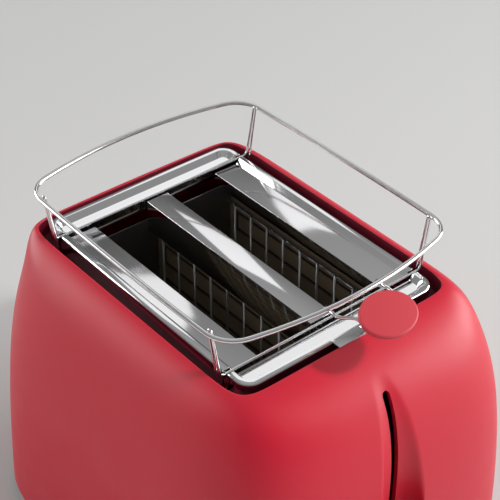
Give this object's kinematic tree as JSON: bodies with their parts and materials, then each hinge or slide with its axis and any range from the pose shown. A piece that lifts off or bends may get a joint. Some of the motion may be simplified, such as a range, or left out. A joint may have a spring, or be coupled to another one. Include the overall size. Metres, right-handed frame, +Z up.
{
  "type": "toaster",
  "caption": "Glossy red slotted toaster with polished steel top trim, a raised wire warming rack with a red paddle, a lever in an end groove, a dial and push buttons",
  "frame": {"origin": "centre of the bounding box on the standing surface", "axes": "+X lever end, +Y right side seen from the lever end, +Z up"},
  "size_m": [0.2804, 0.2024, 0.2235],
  "materials": {
    "shell_red": "high gloss moulding",
    "satin_red": "satin moulding",
    "trim_steel": "mirror polish",
    "rack_chrome": "bright plated wire",
    "inner_steel": "plain sheet",
    "black_plastic": "fine texture",
    "black_rubber": "matt",
    "mica": "mica sheet",
    "ribbon": "oxidised resistance ribbon",
    "board_green": "laminate",
    "coil_copper": "enamelled winding"
  },
  "bodies": {
    "housing": {"body_shell": "shell_red", "plate_front": "trim_steel", "plate_rear": "trim_steel", "plate_left": "trim_steel", "plate_right": "trim_steel", "slot_divider": "trim_steel", "base_pan": "black_plastic", "foot_front_left": "black_rubber", "foot_front_right": "black_rubber", "foot_rear_left": "black_rubber", "foot_rear_right": "black_rubber", "base_screws": "inner_steel", "cord_gland": "black_rubber", "chassis_front": "inner_steel", "chassis_rear": "inner_steel", "rod_bracket": "inner_steel", "reflector_left": "inner_steel", "reflector_right": "inner_steel", "heater_card_left": "mica", "heater_card_centre": "mica", "heater_card_right": "mica", "heater_ribbon_left": "ribbon", "heater_ribbon_centre_left": "ribbon", "heater_ribbon_centre_right": "ribbon", "heater_ribbon_right": "ribbon", "guard_outer_left": "inner_steel", "guard_inner_left": "inner_steel", "guard_inner_right": "inner_steel", "guard_outer_right": "inner_steel", "guide_rod": "inner_steel", "lift_spring": "inner_steel", "electromagnet": "coil_copper", "control_board": "board_green", "button_switches": "black_plastic", "dial_pot": "black_plastic"},
    "rack": {"rack_rail": "rack_chrome", "rack_cross_front": "rack_chrome", "rack_cross_rear": "rack_chrome", "rack_arm_left": "rack_chrome", "rack_arm_right": "rack_chrome", "rack_paddle": "satin_red"},
    "carriage": {"carriage_plate": "inner_steel", "lever_arm": "inner_steel", "lever_knob": "satin_red", "bread_lift_left": "inner_steel", "bread_lift_right": "inner_steel", "latch_armature": "inner_steel"},
    "dial": {"dial_knob": "satin_red", "dial_shaft": "inner_steel"},
    "cancel": {"button_cancel": "satin_red"},
    "reheat": {"button_reheat": "satin_red"},
    "defrost": {"button_defrost": "satin_red"},
    "tray": {"crumb_tray": "inner_steel", "crumb_tray_pull": "black_plastic"}
  },
  "joints": [
    {"name": "rack_slide", "type": "slide", "parent": "housing", "child": "rack", "axis": [0, 0, 1], "range_m": [-0.013, 0]},
    {"name": "carriage_lift", "type": "slide", "parent": "housing", "child": "carriage", "axis": [0, 0, 1], "range_m": [0, 0.072], "deforming": ["lift_spring"]},
    {"name": "dial_turn", "type": "hinge", "parent": "housing", "child": "dial", "pos_m": [0, 0, 0.031], "axis": [1, 0, 0], "range_deg": [-135, 135]},
    {"name": "cancel_press", "type": "slide", "parent": "housing", "child": "cancel", "axis": [-1, 0, 0], "range_m": [0, 0.0024], "stiffness_N_per_m": 400},
    {"name": "reheat_press", "type": "slide", "parent": "housing", "child": "reheat", "axis": [-1, 0, 0], "range_m": [0, 0.0024], "stiffness_N_per_m": 400},
    {"name": "defrost_press", "type": "slide", "parent": "housing", "child": "defrost", "axis": [-1, 0, 0], "range_m": [0, 0.0024], "stiffness_N_per_m": 400},
    {"name": "tray_slide", "type": "slide", "parent": "housing", "child": "tray", "axis": [-1, 0, 0], "range_m": [0, 0.2]}
  ]
}
